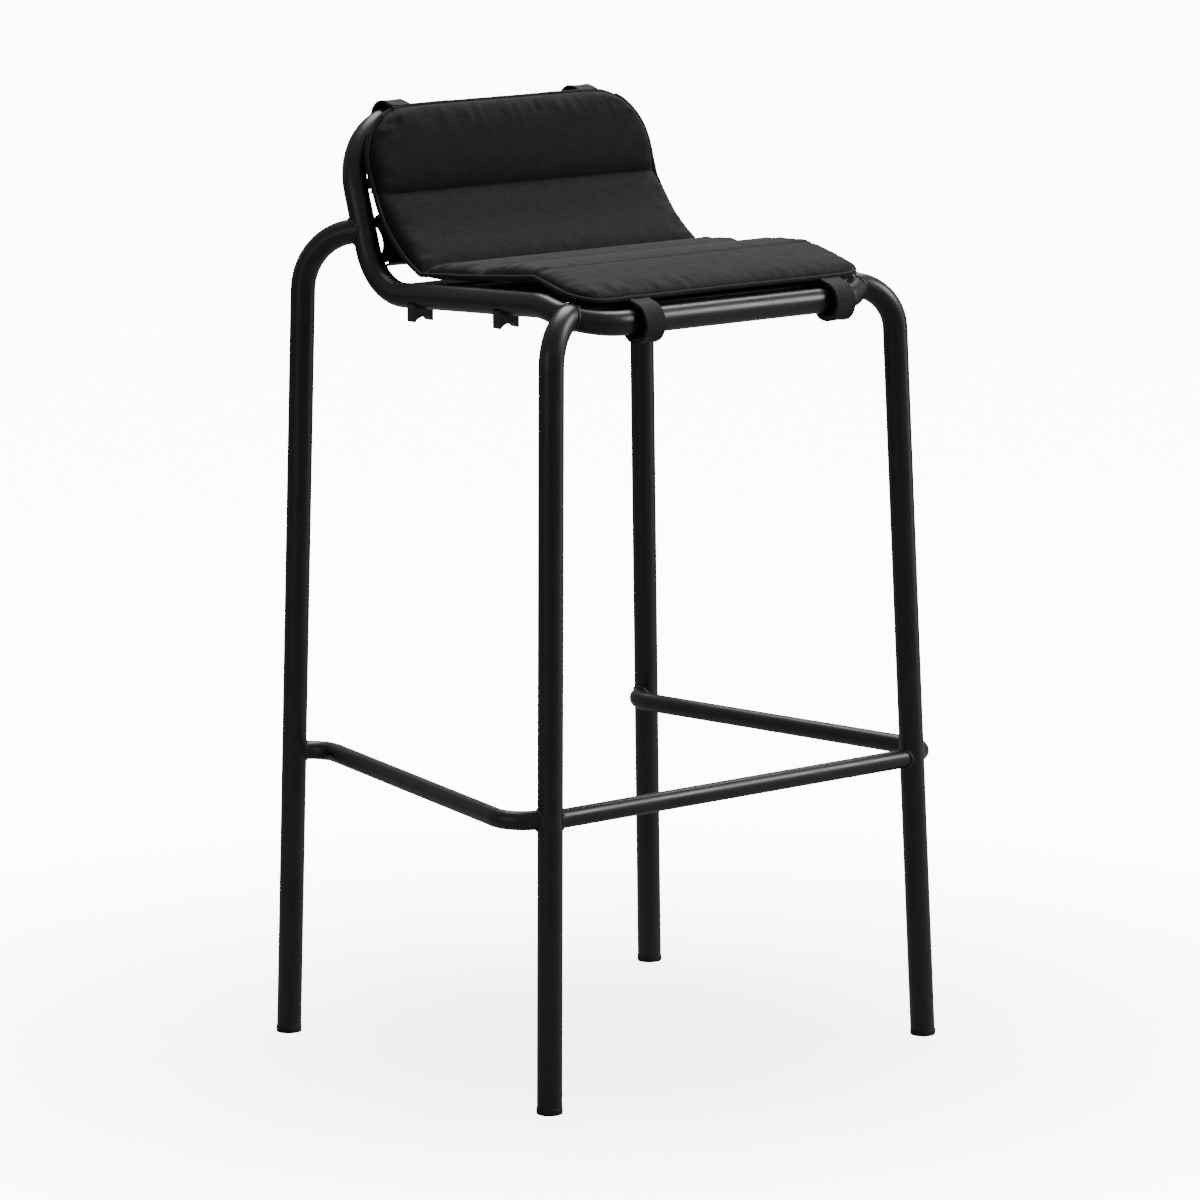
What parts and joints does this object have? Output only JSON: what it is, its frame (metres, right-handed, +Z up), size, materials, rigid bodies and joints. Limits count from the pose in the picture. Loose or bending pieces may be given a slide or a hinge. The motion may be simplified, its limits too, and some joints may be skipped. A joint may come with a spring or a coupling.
{
  "type": "bar stool",
  "caption": "Tall bar stool: welded bent steel tube frame with a low slatted back, footrest bars and a strapped-on seat and back pad.",
  "frame": {"origin": "on the floor, in the middle of the four feet", "axes": "+Z up, the stool faces -Y, +X to the right as seen from the front"},
  "size_m": [0.5582, 0.4548, 0.951],
  "materials": {
    "frame_tube": "fine satin powder coat, black",
    "footrest_tube": "fine satin powder coat, black",
    "slat_steel": "fine satin powder coat, black",
    "glide_plastic": "matt moulded plastic, black",
    "saddle_plastic": "matt moulded plastic, black",
    "pad_fabric": "matt woven outdoor fabric, black",
    "strap_webbing": "folded fabric strap, black",
    "snap_metal": "black press stud"
  },
  "bodies": {
    "root": {"back_pad": "pad_fabric", "back_slat_lower": "slat_steel", "back_slat_upper": "slat_steel", "foot_glide_front_left": "glide_plastic", "foot_glide_front_right": "glide_plastic", "foot_glide_rear_left": "glide_plastic", "foot_glide_rear_right": "glide_plastic", "footrest_front_bar": "footrest_tube", "footrest_side_bar_left": "footrest_tube", "footrest_side_bar_right": "footrest_tube", "front_leg_left": "frame_tube", "front_leg_right": "frame_tube", "front_strap_left": "strap_webbing", "front_strap_right": "strap_webbing", "rear_leg_left": "frame_tube", "rear_leg_right": "frame_tube", "seat_back_loop": "frame_tube", "seat_pad": "pad_fabric", "seat_slat_front": "slat_steel", "seat_slat_mid_front": "slat_steel", "seat_slat_mid_rear": "slat_steel", "seat_slat_rear": "slat_steel", "stacking_saddle_front_left": "saddle_plastic", "stacking_saddle_front_right": "saddle_plastic", "stacking_saddle_rear_left": "saddle_plastic", "stacking_saddle_rear_right": "saddle_plastic", "strap_snaps": "snap_metal", "top_strap_left": "strap_webbing", "top_strap_right": "strap_webbing"}
  },
  "joints": []
}
